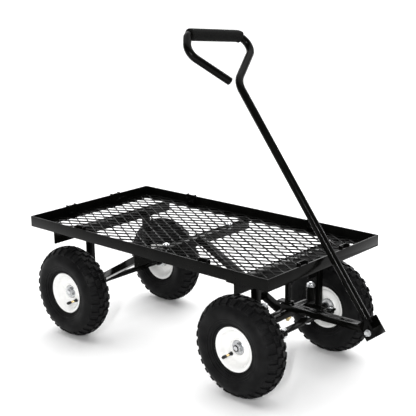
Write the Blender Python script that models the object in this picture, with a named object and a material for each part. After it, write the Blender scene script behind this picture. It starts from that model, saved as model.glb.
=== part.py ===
"""Garden cart: a steel deck of expanded metal on four pneumatic wheels, steered by a tongue and pulled by a handle.

Metres, +Z up, +X towards the pulling end, the cart's left side at +Y. The origin is at the bottom centre of the
object's box, on the ground. X values below are measured from the middle of the deck and shifted once, by SHIFT_X.
"""
import math

import bmesh
import bpy
from mathutils import Matrix, Vector

# ---- Driving dimensions -------------------------------------------------------------------------------------
DECK_LENGTH = 0.860
DECK_WIDTH = 0.457
DECK_RISE = 0.208              # the rails' top edges above the axles
WHEEL_RADIUS = 0.130
TYRE_WIDTH = 0.082
AXLE_INSET = 0.119             # each axle, from its end of the deck
HANDLE_LENGTH = 0.696          # handle pivot to the first bend, along the shaft
HANDLE_LEAN = math.radians(53.3)
MESH_CELLS = (17, 15)          # whole diamonds along X and along Y

# ---- Clearances ---------------------------------------------------------------------------------------------
GAP = 0.0003                   # between welded or bolted neighbours
SLIP = 0.0003                  # on the radius, round a turning pin

# ---- Axle lines ---------------------------------------------------------------------------------------------
AXLE_X = DECK_LENGTH / 2 - AXLE_INSET
AXLE_Z = WHEEL_RADIUS
WHEEL_Y = DECK_WIDTH / 2 - TYRE_WIDTH / 2 - 0.0015

# ---- Deck ---------------------------------------------------------------------------------------------------
RAIL_TOP = AXLE_Z + DECK_RISE
RAIL_HEIGHT = 0.030
RAIL_LEG = 0.030
RAIL_WALL = 0.003
RAIL_BOTTOM = RAIL_TOP - RAIL_HEIGHT
STRAND_WIDTH = 0.0025
SHEET_THICKNESS = 0.003
SHEET_BORDER = 0.005
SHEET_BOTTOM = RAIL_BOTTOM + RAIL_WALL + GAP
POCKET_WIDTH = 0.032
POCKET_DEPTH = 0.012
POCKET_WALL = 0.003
POCKET_RISE = 0.006            # above the rail
SIDE_POCKET_X = 0.263 * DECK_LENGTH
END_POCKET_Y = 0.190 * DECK_WIDTH

# ---- Cross members ------------------------------------------------------------------------------------------
BAR_LEG = 0.027
BAR_WALL = 0.003
BAR_TOP = RAIL_BOTTOM - GAP
BAR_DROP = min(0.033, BAR_TOP - 2 * WHEEL_RADIUS - 0.005)   # the ends hang clear of the tyres
BAR_UNDER = BAR_TOP - BAR_WALL
REAR_BAR_X = -AXLE_X - 0.020   # the hanging leg's outer face
MID_BAR_X = -0.010
FRONT_BAR_X = AXLE_X + 0.019

# ---- Running gear -------------------------------------------------------------------------------------------
AXLE_RADIUS = 0.008
COLLAR_RADIUS = AXLE_RADIUS + 0.004
TUBE = 0.018                   # square tube of the legs and struts
TUBE_WALL = 0.002
REAR_LEG_X = -AXLE_X - 0.004
REAR_LEG_Y = WHEEL_Y - TYRE_WIDTH / 2 - 0.033
FRONT_LEG_Y = WHEEL_Y - TYRE_WIDTH / 2 - 0.017
FRONT_LEG_FOOT = AXLE_Z + 0.0155
KINGPIN_Y = FRONT_LEG_Y - 0.030
KINGPIN_RADIUS = 0.006
BARREL_RADIUS = 0.012
BARREL_BOTTOM, BARREL_TOP = AXLE_Z + 0.025, AXLE_Z + 0.076
BEAM_LENGTH_X = 0.025
BEAM_TOP = AXLE_Z + 0.0415
STEER_LEVER = 0.0635           # same on the tongue and on both knuckle arms
ARM_TOP = AXLE_Z + 0.024
ARM_THICK, ARM_WIDTH = 0.006, 0.020
POST = 0.011                   # square bar of the centre post
STEER_BOLT_RADIUS = 0.005
ROD_THICK = 0.005

# ---- Tongue and handle --------------------------------------------------------------------------------------
TONGUE_BOTTOM, TONGUE_HEIGHT, TONGUE_WIDTH = AXLE_Z + 0.042, 0.015, 0.025
TONGUE_WALL = 0.002
TONGUE_BACK = 0.014            # behind the steering pivot
TONGUE_TIP = 0.009             # beyond the handle pivot
YOKE_WIDTH, YOKE_DEPTH, YOKE_WALL = 0.042, 0.032, 0.003
YOKE_BELOW, YOKE_ABOVE = 0.017, 0.030
YOKE_WEB = 0.020
SHAFT_RADIUS = 0.0103
SHAFT_WALL = 0.0015
GRIP_RADIUS = 0.016
BOLT_RADIUS = 0.004
# The pivot is at half the tongue's height. The leaning shaft passes just in front of the front rail's top edge.
TONGUE_TOP = TONGUE_BOTTOM + TONGUE_HEIGHT
HANDLE_PIVOT_Z = (TONGUE_BOTTOM + 0.0005 + TONGUE_TOP) / 2
HANDLE_PIVOT_X = DECK_LENGTH / 2 + SHAFT_RADIUS + 0.0077 + (RAIL_TOP - HANDLE_PIVOT_Z) / math.tan(HANDLE_LEAN)
# The tube's lower edge rests on the tongue.
SHAFT_START = ((TONGUE_TOP - HANDLE_PIVOT_Z + GAP + SHAFT_RADIUS * math.cos(HANDLE_LEAN))
               / math.sin(HANDLE_LEAN))

# ---- Wheel --------------------------------------------------------------------------------------------------
RIM_RADIUS = 0.057
HUB_RADIUS = 0.0176
HUB_IN, HUB_OUT = -0.026, 0.009
VALVE_CIRCLE = 0.031
WHEEL_STEPS = 20

# The box runs from the rear tyres' backs to the yoke's foremost corner.
YOKE_NOSE = (HANDLE_PIVOT_X + YOKE_BELOW * math.cos(HANDLE_LEAN) + YOKE_DEPTH / 2 * math.sin(HANDLE_LEAN))
SHIFT_X = (AXLE_X + WHEEL_RADIUS - YOKE_NOSE) / 2

X, Y, Z = Vector((1, 0, 0)), Vector((0, 1, 0)), Vector((0, 0, 1))
SIDES = (("left", 1), ("right", -1))

for old in list(bpy.data.objects):
    bpy.data.objects.remove(old, do_unlink=True)


# ---- Materials ----------------------------------------------------------------------------------------------
def material(name, colour, roughness, metallic=0.0):
    mat = bpy.data.materials.new(name)
    mat.use_nodes = True
    shader = mat.node_tree.nodes["Principled BSDF"]
    shader.inputs["Base Color"].default_value = (*colour, 1)
    shader.inputs["Roughness"].default_value = roughness
    shader.inputs["Metallic"].default_value = metallic
    mat.diffuse_color = (*colour, 1)
    return mat


FINISHES = {
    "black_paint": ((0.012, 0.012, 0.013), 0.25, 0.0),
    "zinc": ((0.62, 0.62, 0.60), 0.35, 1.0),
    "yellow_zinc": ((0.60, 0.50, 0.28), 0.35, 1.0),
    "white_paint": ((0.80, 0.80, 0.78), 0.30, 0.0),
    "tyre_rubber": ((0.022, 0.022, 0.023), 0.75, 0.0),
    "foam": ((0.015, 0.015, 0.016), 0.90, 0.0),
    "black_plastic": ((0.015, 0.015, 0.015), 0.45, 0.0),
    "brass": ((0.75, 0.55, 0.25), 0.30, 1.0),
}


# ---- Shapes -------------------------------------------------------------------------------------------------
def add_object(name, bm, finish, at=(0, 0, 0), smooth=False):
    """Makes an object whose origin is at the point `at`; the mesh is given in cart coordinates."""
    bmesh.ops.translate(bm, verts=bm.verts, vec=-Vector(at))
    bmesh.ops.recalc_face_normals(bm, faces=bm.faces)
    mesh = bpy.data.meshes.new(name)
    bm.to_mesh(mesh)
    bm.free()
    obj = bpy.data.objects.new(name, mesh)
    bpy.context.scene.collection.objects.link(obj)
    obj.location = Vector(at) + Vector((SHIFT_X, 0, 0))
    if finish:
        mesh.materials.append(material(name, *FINISHES[finish]))
    if smooth:
        for polygon in mesh.polygons:
            polygon.use_smooth = True
        mesh.set_sharp_from_angle(angle=math.radians(35))
    return obj


def box(low, high, bm=None):
    bm = bm or bmesh.new()
    low, high = Vector(low), Vector(high)
    size = high - low
    bmesh.ops.create_cube(bm, size=1, matrix=Matrix.Translation((low + high) / 2) @ Matrix.Diagonal((*size, 1)))
    return bm


def prism(outline, along, start, end):
    """Extrudes an outline of two-number points along an axis; the points use the other two axes, in X, Y, Z order."""
    other = [axis for axis in (X, Y, Z) if axis != along]
    bm = bmesh.new()
    rings = [[bm.verts.new(other[0] * a + other[1] * b + along * c) for a, b in outline] for c in (start, end)]
    bm.faces.new(rings[0])
    bm.faces.new(rings[1])
    for i in range(len(outline)):
        j = (i + 1) % len(outline)
        bm.faces.new((rings[0][i], rings[0][j], rings[1][j], rings[1][i]))
    return bm


def loft(rings, closed=False, bm=None):
    """Joins rings of points in turn; the ends are capped, or joined to each other when closed."""
    bm = bm or bmesh.new()
    rows = [[bm.verts.new(point) for point in ring] for ring in rings]
    pairs = list(zip(rows, rows[1:])) + ([(rows[-1], rows[0])] if closed else [])
    for low, high in pairs:
        for i in range(len(low)):
            j = (i + 1) % len(low)
            bm.faces.new((low[i], low[j], high[j], high[i]))
    if not closed:
        bm.faces.new(rows[0])
        bm.faces.new(rows[-1])
    return bm


def across(axis):
    """Two directions square to an axis and to each other."""
    side = (Z if abs(axis.z) < 0.9 else X).cross(axis).normalized()
    return axis.cross(side).normalized(), side


def ring(centre, axis, radius, steps, hexagon=False):
    """A circle, or a hexagon whose flats are at the radius, with a vertex on the first cross direction."""
    first, second = across(axis)
    points = []
    for i in range(steps):
        turn = 2 * math.pi * i / steps
        reach = radius
        if hexagon:
            reach /= math.cos((turn + math.pi / 6) % (math.pi / 3) - math.pi / 6)
        points.append(centre + (first * math.cos(turn) + second * math.sin(turn)) * reach)
    return points


def lathe(profile, centre, axis, steps, closed=True, bm=None):
    """Turns a profile of (radius, distance along the axis) points; a solid bar is not closed, a ring is."""
    centre, axis = Vector(centre), Vector(axis)
    return loft([ring(centre + axis * d, axis, r, steps) for r, d in profile], closed, bm)


def bolt(centre, axis, stations, bm=None):
    """A bolt with its nut, as stations of (distance along the axis, radius, hexagonal or not), stepped at each."""
    centre, axis = Vector(centre), Vector(axis)
    rings = [ring(centre + axis * d, axis, r, 12, hexagon) for d, r, hexagon in stations]
    return loft(rings, bm=bm)


def square_tube(low, high, wall, along):
    """An open-ended tube between two corners, with its hollow along an axis."""
    low, high = Vector(low), Vector(high)
    other = [axis for axis in (X, Y, Z) if axis != along]
    rings = []
    for inset, end in ((0, low), (0, high), (wall, high), (wall, low)):
        a0, b0 = (other[0].dot(low) + inset, other[1].dot(low) + inset)
        a1, b1 = (other[0].dot(high) - inset, other[1].dot(high) - inset)
        corners = ((a0, b0), (a1, b0), (a1, b1), (a0, b1))
        rings.append([other[0] * a + other[1] * b + along * along.dot(end) for a, b in corners])
    return loft(rings, closed=True)


def cut(obj, name, bm, operation="DIFFERENCE"):
    """A live boolean with a hidden tool body that rides with the part."""
    tool = add_object("tool_" + name, bm, None, obj.location - Vector((SHIFT_X, 0, 0)))
    tool.hide_render = True
    tool.display_type = "WIRE"
    modifier = obj.modifiers.new(name, "BOOLEAN")
    modifier.operation = operation
    modifier.solver = "EXACT"
    modifier.object = tool
    return modifier


def hole(obj, name, centre, axis, radius, length, steps=16):
    """Drills through, `length` each way from the centre."""
    centre, axis = Vector(centre), Vector(axis)
    rings = [ring(centre + axis * d, axis, radius, steps) for d in (-length, length)]
    return cut(obj, name, loft(rings))


# ---- Deck frame: four lengths of angle, legs up and in ------------------------------------------------------
half_x, half_y = DECK_LENGTH / 2, DECK_WIDTH / 2


def angle(outer, inward, bottom, height, leg, wall):
    """Outline of an angle with its upright leg's outer face at `outer` and its flat leg running inward."""
    return [(outer, bottom), (outer, bottom + height), (outer + inward * wall, bottom + height),
            (outer + inward * wall, bottom + wall), (outer + inward * leg, bottom + wall),
            (outer + inward * leg, bottom)]


for side, sign in SIDES:
    outline = angle(sign * half_y, -sign, RAIL_BOTTOM, RAIL_HEIGHT, RAIL_LEG, RAIL_WALL)
    add_object("side_rail_" + side, prism(outline, X, -half_x, half_x), "black_paint")

# The end rails stop short of the side rails: upright legs between uprights, flat legs between flats.
for end, sign in (("front", 1), ("rear", -1)):
    upright_y = half_y - RAIL_WALL - GAP
    flat_y = half_y - RAIL_LEG - GAP
    outer, inner, tip = sign * half_x, sign * (half_x - RAIL_WALL), sign * (half_x - RAIL_LEG)
    flat_top = RAIL_BOTTOM + RAIL_WALL
    face = [(-flat_y, RAIL_BOTTOM), (flat_y, RAIL_BOTTOM), (flat_y, flat_top + GAP), (upright_y, flat_top + GAP),
            (upright_y, RAIL_TOP), (-upright_y, RAIL_TOP), (-upright_y, flat_top + GAP), (-flat_y, flat_top + GAP)]
    rail = add_object("end_rail_" + end, prism(face, X, min(outer, inner), max(outer, inner)), "black_paint")
    overlap = inner + sign * RAIL_WALL / 2
    flat = box((min(tip, overlap), -flat_y, RAIL_BOTTOM), (max(tip, overlap), flat_y, flat_top))
    cut(rail, f"end_rail_{end}_flat", flat, "UNION")


# ---- Expanded metal: one sheet of diamonds on the flat legs --------------------------------------------------
def expanded_sheet():
    """Grid points with an even sum are bonds; those with an odd sum are diamonds, halved along the border."""
    count_x, count_y = (2 * cells for cells in MESH_CELLS)
    reach_x, reach_y = half_x - RAIL_WALL - GAP, half_y - RAIL_WALL - GAP
    step_x, step_y = 2 * reach_x / count_x, 2 * reach_y / count_y
    inset = STRAND_WIDTH / 2 * math.hypot(step_x, step_y) / (step_x * step_y)
    open_x, open_y = step_x * (1 - inset), step_y * (1 - inset)
    bm = bmesh.new()
    points = {}

    def vertex(x, y):
        key = (round(x, 7), round(y, 7))
        if key not in points:
            points[key] = [bm.verts.new((x, y, SHEET_BOTTOM + level)) for level in (0, SHEET_THICKNESS)]
        return points[key]

    def plate(corners):
        pairs = [vertex(*corner) for corner in corners]
        bm.faces.new([pair[0] for pair in reversed(pairs)])
        bm.faces.new([pair[1] for pair in pairs])

    def wall(corners):
        pairs = [vertex(*corner) for corner in corners]
        for a, b in zip(pairs, pairs[1:] + pairs[:1]):
            bm.faces.new((a[0], a[1], b[1], b[0]))

    def place(i, j):
        return i * step_x - reach_x, j * step_y - reach_y

    def tips(i, j):
        """The opening's corners to +X, +Y, -X and -Y; the border cuts off the one beyond it."""
        x, y = place(i, j)
        right, up, left, down = [x + open_x, y], [x, y + open_y], [x - open_x, y], [x, y - open_y]
        if i in (0, count_x):
            up[0] = down[0] = x + (SHEET_BORDER if i == 0 else -SHEET_BORDER)
            up[1], down[1] = (y + s * open_y * (1 - SHEET_BORDER / open_x) for s in (1, -1))
        if j in (0, count_y):
            left[1] = right[1] = y + (SHEET_BORDER if j == 0 else -SHEET_BORDER)
            right[0], left[0] = (x + s * open_x * (1 - SHEET_BORDER / open_y) for s in (1, -1))
        return right, up, left, down

    for i in range(count_x + 1):
        for j in range(count_y + 1):
            edge_x, edge_y = i in (0, count_x), j in (0, count_y)
            x, y = place(i, j)
            if (i + j) % 2:
                right, up, left, down = tips(i, j)
                if i == 0:
                    wall([right, up, down])
                    plate([(x, down[1]), down, up, (x, up[1])])
                elif i == count_x:
                    wall([up, left, down])
                    plate([down, (x, down[1]), (x, up[1]), up])
                elif j == 0:
                    wall([right, up, left])
                    plate([(left[0], y), (right[0], y), right, left])
                elif j == count_y:
                    wall([right, left, down])
                    plate([left, right, (right[0], y), (left[0], y)])
                else:
                    wall([right, up, left, down])
                # the two strands to the upper right and lower right, shared with the next diamonds
                for dj in (1, -1):
                    if i < count_x and 0 <= j + dj <= count_y:
                        mate = tips(i + 1, j + dj)
                        near, far = (up, mate[3]) if dj == 1 else (down, mate[1])
                        strand = [right, far, mate[2], near]
                        plate(strand if dj == 1 else strand[::-1])
            else:
                # a bond: its corners are the nearest tips of the diamonds round it
                corners = []
                for di, dj, tip in ((1, 0, 2), (0, 1, 3), (-1, 0, 0), (0, -1, 1)):
                    if 0 <= i + di <= count_x and 0 <= j + dj <= count_y:
                        corners.append(tuple(tips(i + di, j + dj)[tip]))
                    else:
                        corners.append(None)
                outline = []
                for k, corner in enumerate(corners):
                    before, after = corners[k - 1], corners[(k + 1) % 4]
                    if corner is not None:
                        outline.append(corner)
                        continue
                    if before is not None:
                        outline.append((x, before[1]) if k in (0, 2) else (before[0], y))
                    elif k and corners[k - 1] is None:
                        outline.append((x, y))
                    if after is not None:
                        outline.append((x, after[1]) if k in (0, 2) else (after[0], y))
                plate(outline)
    border = [edge for edge in bm.edges if len(edge.link_faces) == 1]
    top = [edge for edge in border if all(v.co.z > SHEET_BOTTOM + SHEET_THICKNESS / 2 for v in edge.verts)]
    lower = {tuple(round(c, 7) for c in v.co.xy): v for v in bm.verts if v.co.z < SHEET_BOTTOM + SHEET_THICKNESS / 2}
    for edge in top:
        a, b = edge.verts
        under = [lower[tuple(round(c, 7) for c in v.co.xy)] for v in (a, b)]
        bm.faces.new((a, b, under[1], under[0]))
    return bm


add_object("mesh_panel", expanded_sheet(), "black_paint")


# ---- Stake pockets: bent straps on the inside of the rails, standing on the sheet ---------------------------
def pocket(name, wall_x, wall_y, along, inward):
    """A three-sided strap whose open side faces the rail; `along` runs with the rail, `inward` away from it."""
    base = Vector((wall_x, wall_y, 0)) + inward * GAP
    half, deep = POCKET_WIDTH / 2, POCKET_DEPTH
    outline = [(-half, 0), (-half, deep), (half, deep), (half, 0), (half - POCKET_WALL, 0),
               (half - POCKET_WALL, deep - POCKET_WALL), (POCKET_WALL - half, deep - POCKET_WALL),
               (POCKET_WALL - half, 0)]
    heights = (SHEET_BOTTOM + SHEET_THICKNESS + GAP, RAIL_TOP + POCKET_RISE)
    rings = [[base + along * a + inward * b + Z * height for a, b in outline] for height in heights]
    add_object(name, loft(rings), "black_paint")


for side, sign in SIDES:
    for end, way in (("front", 1), ("rear", -1)):
        pocket(f"side_pocket_{end}_{side}", way * SIDE_POCKET_X, sign * (half_y - RAIL_WALL), X, -Y * sign)
        pocket(f"end_pocket_{end}_{side}", way * (half_x - RAIL_WALL), sign * END_POCKET_Y, Y, -X * way)


# ---- Cross members: three angles under the deck, each with one leg hanging -----------------------------------
for name, outer, inward in (("rear", REAR_BAR_X, 1), ("middle", MID_BAR_X, 1), ("front", FRONT_BAR_X, -1)):
    outline = [(outer, BAR_TOP), (outer, BAR_TOP - BAR_DROP), (outer + inward * BAR_WALL, BAR_TOP - BAR_DROP),
               (outer + inward * BAR_WALL, BAR_UNDER), (outer + inward * BAR_LEG, BAR_UNDER),
               (outer + inward * BAR_LEG, BAR_TOP)]
    add_object("crossbar_" + name, prism(outline, Y, -half_y, half_y), "black_paint")


# ---- Legs and struts: square tube -----------------------------------------------------------------------------
def leg(name, x, y, foot):
    h = TUBE / 2
    low, high = (x - h, y - h, foot), (x + h, y + h, BAR_UNDER - GAP)
    return add_object(name, square_tube(low, high, TUBE_WALL, Z), "black_paint")


def strut(name, start, end):
    """A square tube between two points, with both ends cut square to X."""
    start, end = Vector(start), Vector(end)
    along = (end - start).normalized()
    level = Z.cross(along).normalized()
    rise = along.cross(level)
    rings = []
    for inset, centre in ((0, start), (0, end), (TUBE_WALL, end), (TUBE_WALL, start)):
        h = TUBE / 2 - inset
        offsets = [level * a * h + rise * b * h for a, b in ((-1, -1), (1, -1), (1, 1), (-1, 1))]
        rings.append([centre + offset - along * offset.x / along.x for offset in offsets])
    return add_object(name, loft(rings, closed=True), "black_paint")


for side, sign in SIDES:
    leg("rear_leg_" + side, REAR_LEG_X, sign * REAR_LEG_Y, AXLE_Z + AXLE_RADIUS + GAP)
    front_leg = leg("front_leg_" + side, AXLE_X + 0.001, sign * FRONT_LEG_Y, FRONT_LEG_FOOT)
    # a web plate reaches inward over the kingpin
    near, far = sign * (KINGPIN_Y - BARREL_RADIUS), sign * (FRONT_LEG_Y - TUBE / 2 + TUBE_WALL / 2)
    web = box((AXLE_X - 0.002, min(near, far), BARREL_TOP + 0.022), (AXLE_X + 0.004, max(near, far), BAR_UNDER - GAP))
    cut(front_leg, "front_web_" + side, web, "UNION")
    strut("side_strut_" + side, (AXLE_RADIUS - AXLE_X + GAP, sign * (REAR_LEG_Y - 0.014), AXLE_Z + 0.011),
          (MID_BAR_X - GAP, sign * (half_y - 0.029), RAIL_BOTTOM - 0.66 * TUBE))

# The centre strut runs from the middle crossbar down to the front beam, cut plumb at the beam.
beam_back = AXLE_X - BEAM_LENGTH_X / 2 - GAP
bar_face, bar_under = MID_BAR_X + BAR_WALL + GAP, BAR_UNDER - GAP
strut_foot = AXLE_Z + 0.028
strut_slope = (bar_under + 0.005 - strut_foot) / (beam_back - bar_face)
strut_half = TUBE / 2 * math.hypot(1, strut_slope)
upper_x = beam_back - (bar_under - strut_foot - strut_half) / strut_slope
lower_z = strut_foot - strut_half + (beam_back - bar_face) * strut_slope
outline = [(beam_back, strut_foot - strut_half), (beam_back, strut_foot + strut_half), (upper_x, bar_under),
           (bar_face, bar_under), (bar_face, lower_z)]
add_object("centre_strut", prism(outline, Y, -TUBE / 2, TUBE / 2), "black_paint")

# The rear axle is one rod under the legs, with a shoulder inside each wheel.
hub_start, hub_end = WHEEL_Y + HUB_IN - GAP, WHEEL_Y + HUB_OUT
axle_tip = hub_end + 0.0105
outline = [(AXLE_RADIUS, -axle_tip), (AXLE_RADIUS, -hub_start), (COLLAR_RADIUS, -hub_start),
           (COLLAR_RADIUS, -hub_start + 0.010), (AXLE_RADIUS, -hub_start + 0.010),
           (AXLE_RADIUS, hub_start - 0.010), (COLLAR_RADIUS, hub_start - 0.010), (COLLAR_RADIUS, hub_start),
           (AXLE_RADIUS, hub_start), (AXLE_RADIUS, axle_tip)]
add_object("rear_axle", lathe(outline, (-AXLE_X, 0, AXLE_Z), Y, 16, closed=False), "zinc", smooth=True)

# ---- Front axle frame: a beam between two upright barrels, each with a gusset to its leg ---------------------
half_beam = BEAM_LENGTH_X / 2
frame = add_object("front_axle_frame", box((AXLE_X - half_beam, -KINGPIN_Y, BARREL_BOTTOM),
                                           (AXLE_X + half_beam, KINGPIN_Y, BEAM_TOP)), "black_paint")
for side, sign in SIDES:
    barrel = [(BARREL_RADIUS, BARREL_BOTTOM), (BARREL_RADIUS, BARREL_TOP)]
    cut(frame, "barrel_" + side, lathe(barrel, (AXLE_X, sign * KINGPIN_Y, 0), Z, 20, closed=False), "UNION")
    near, far = sign * (KINGPIN_Y + BARREL_RADIUS / 2), sign * (FRONT_LEG_Y - TUBE / 2 - GAP)
    gusset = box((AXLE_X - 0.003, min(near, far), BARREL_BOTTOM + 0.005),
                 (AXLE_X + 0.003, max(near, far), BARREL_TOP - 0.006))
    cut(frame, "gusset_" + side, gusset, "UNION")
for side, sign in SIDES:
    hole(frame, "kingpin_bore_" + side, (AXLE_X, sign * KINGPIN_Y, BARREL_TOP), Z, KINGPIN_RADIUS + SLIP, 0.08)
hole(frame, "steering_bore", (AXLE_X, 0, BEAM_TOP), Z, STEER_BOLT_RADIUS + SLIP, 0.04)

# The centre post is a square bar on a foot plate over the tongue; the steering bolt screws up into the plate.
foot_low, foot_high = TONGUE_TOP + 0.0008, TONGUE_TOP + 0.0058
half_post, half_foot = POST / 2, 0.012
outline = [(AXLE_X - half_post, BAR_UNDER - GAP), (AXLE_X - half_post, foot_high), (AXLE_X - 0.027, foot_high),
           (AXLE_X - 0.027, foot_low), (AXLE_X + half_foot, foot_low), (AXLE_X + half_foot, foot_high),
           (AXLE_X + half_post, foot_high), (AXLE_X + half_post, BAR_UNDER - GAP)]
post = add_object("centre_post", prism(outline, Y, -half_post, half_post), "black_paint")
for k, (near, far) in enumerate(((-half_foot, -half_post / 2), (half_post / 2, half_foot))):
    wing = box((AXLE_X - 0.027, near, foot_low), (AXLE_X + half_foot, far, foot_high))
    cut(post, f"post_foot_{k}", wing, "UNION")
bore_top = foot_high - 0.001
cut(post, "post_foot_hole", loft([ring(Vector((AXLE_X, 0, z)), Z, STEER_BOLT_RADIUS + SLIP, 16)
                                  for z in (foot_low - 0.01, bore_top)]))
stations = [(BARREL_BOTTOM - 0.015, STEER_BOLT_RADIUS - 0.0005, False),
            (BARREL_BOTTOM - 0.0085, STEER_BOLT_RADIUS, False), (BARREL_BOTTOM - 0.0085, 0.0085, True),
            (BARREL_BOTTOM - GAP, 0.0085, True), (BARREL_BOTTOM - GAP, STEER_BOLT_RADIUS, False),
            (bore_top - GAP, STEER_BOLT_RADIUS, False)]
add_object("steering_bolt", bolt((AXLE_X, 0, 0), Z, stations), "yellow_zinc")

# ---- Knuckles: kingpin, block, arm and stub axle in one forging ----------------------------------------------
arm_x = AXLE_X + STEER_LEVER
for side, sign in SIDES:
    pin = (AXLE_X, sign * KINGPIN_Y, 0)
    stations = [(AXLE_Z + 0.010, KINGPIN_RADIUS, False), (BARREL_TOP + GAP, KINGPIN_RADIUS, False),
                (BARREL_TOP + GAP, 0.010, True), (BARREL_TOP + 0.008, 0.010, True),
                (BARREL_TOP + 0.008, KINGPIN_RADIUS, False), (BARREL_TOP + 0.012, KINGPIN_RADIUS, False)]
    knuckle = add_object("knuckle_" + side, bolt(pin, Z, stations), "black_paint", at=pin)
    block = box((AXLE_X - 0.013, sign * KINGPIN_Y - 0.013, AXLE_Z - 0.013),
                (AXLE_X + 0.013, sign * KINGPIN_Y + 0.013, BARREL_BOTTOM - 0.0005))
    cut(knuckle, "block_" + side, block, "UNION")
    stub = [(AXLE_RADIUS, sign * (KINGPIN_Y + 0.005)), (AXLE_RADIUS, sign * (hub_start - 0.010)),
            (COLLAR_RADIUS, sign * (hub_start - 0.010)), (COLLAR_RADIUS, sign * hub_start),
            (AXLE_RADIUS, sign * hub_start), (AXLE_RADIUS, sign * axle_tip)]
    cut(knuckle, "stub_" + side, lathe(stub, (AXLE_X, 0, AXLE_Z), Y, 16, closed=False), "UNION")
    y, h = sign * KINGPIN_Y, ARM_WIDTH / 2
    turns = [math.radians(angle_deg) for angle_deg in range(-90, 91, 30)]
    outline = [(AXLE_X, y - h)] + [(arm_x + h * math.cos(t), y + h * math.sin(t)) for t in turns] + [(AXLE_X, y + h)]
    cut(knuckle, "arm_" + side, prism(outline, Z, ARM_TOP - ARM_THICK, ARM_TOP), "UNION")
    hole(knuckle, "arm_hole_" + side, (arm_x, y, ARM_TOP), Z, BOLT_RADIUS + SLIP, 0.02)

# ---- Tie rods: flat bars from the arms to the tongue; the right one steps up over the left --------------------
rod_low = ARM_TOP + GAP
rod_step = ROD_THICK + GAP
for side, sign in SIDES:
    y_tip, y_mid, t = sign * KINGPIN_Y, 0, ROD_THICK
    rise = 0 if sign > 0 else rod_step
    outline = [(y_tip + sign * 0.010, rod_low), (sign * 0.030, rod_low), (sign * 0.018, rod_low + rise),
               (-sign * 0.010, rod_low + rise), (-sign * 0.010, rod_low + rise + t),
               (sign * 0.018, rod_low + rise + t), (sign * 0.030, rod_low + t), (y_tip + sign * 0.010, rod_low + t)]
    rod = add_object("tie_rod_" + side, prism(outline, X, arm_x - 0.010, arm_x + 0.010), "black_paint",
                     at=(arm_x, y_tip, 0))
    for k, y in enumerate((y_tip, y_mid)):
        hole(rod, f"rod_hole_{side}_{k}", (arm_x, y, rod_low), Z, BOLT_RADIUS + SLIP, 0.02)
    arm_low = ARM_TOP - ARM_THICK - GAP
    rod_top = rod_low + ROD_THICK + GAP
    stations = [(arm_low - 0.009, 0.0035, False), (arm_low - 0.006, BOLT_RADIUS, False),
                (arm_low - 0.006, 0.0065, True), (arm_low, 0.0065, True), (arm_low, BOLT_RADIUS, False),
                (rod_top, BOLT_RADIUS, False), (rod_top, 0.0065, True), (rod_top + 0.005, 0.0065, True)]
    add_object("tie_rod_bolt_" + side, bolt((arm_x, y_tip, 0), Z, stations), "zinc", at=(arm_x, y_tip, 0))

# ---- Tongue: rectangular tube, with the tie bolt's nut inside it ----------------------------------------------
pivot = Vector((HANDLE_PIVOT_X, 0, HANDLE_PIVOT_Z))
steer_axis = (AXLE_X, 0, TONGUE_BOTTOM)
low = (AXLE_X - TONGUE_BACK, -TONGUE_WIDTH / 2, TONGUE_BOTTOM + 0.0005)
high = (HANDLE_PIVOT_X + TONGUE_TIP, TONGUE_WIDTH / 2, TONGUE_TOP)
tongue = add_object("tongue", square_tube(low, high, TONGUE_WALL, X), "black_paint", at=steer_axis)
hole(tongue, "tongue_pivot_hole", (AXLE_X, 0, TONGUE_BOTTOM), Z, STEER_BOLT_RADIUS + SLIP, 0.03)
hole(tongue, "tongue_tie_hole", (arm_x, 0, TONGUE_BOTTOM), Z, BOLT_RADIUS + SLIP, 0.03)
hole(tongue, "tongue_spare_hole", (AXLE_X + 0.166, 0, TONGUE_BOTTOM), Z, BOLT_RADIUS + SLIP, 0.03)
hole(tongue, "tongue_handle_hole", pivot, Y, BOLT_RADIUS + SLIP, 0.03)
rods_top = rod_low + 2 * rod_step
floor_top = TONGUE_BOTTOM + 0.0005 + TONGUE_WALL + GAP
stations = [(rod_low - 0.006, 0.0065, True), (rod_low - GAP, 0.0065, True), (rod_low - GAP, BOLT_RADIUS, False),
            (rods_top, BOLT_RADIUS, False), (rods_top, 0.0065, True), (TONGUE_BOTTOM + 0.0002, 0.0065, True),
            (TONGUE_BOTTOM + 0.0002, BOLT_RADIUS, False), (floor_top, BOLT_RADIUS, False),
            (floor_top, 0.0065, True), (floor_top + 0.006, 0.0065, True)]
add_object("tie_bolt", bolt((arm_x, 0, 0), Z, stations), "zinc", at=steer_axis)

# ---- Handle: yoke, bent tube, grip and cap, all on the tongue's cross bolt ------------------------------------
shaft_way = Vector((-math.cos(HANDLE_LEAN), 0, math.sin(HANDLE_LEAN)))
front_way = Vector((math.sin(HANDLE_LEAN), 0, math.cos(HANDLE_LEAN)))


def on_handle(along, front=0.0, left=0.0):
    """A point from its distances along the shaft, to its front and to the left, all from the pivot."""
    return pivot + shaft_way * along + front_way * front + Y * left


def handle_box(along, front, left):
    """A block aligned with the shaft, from three (low, high) pairs."""
    rings = [[on_handle(s, n, y) for n, y in ((front[0], left[0]), (front[1], left[0]), (front[1], left[1]),
                                              (front[0], left[1]))] for s in along]
    return loft(rings)


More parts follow.
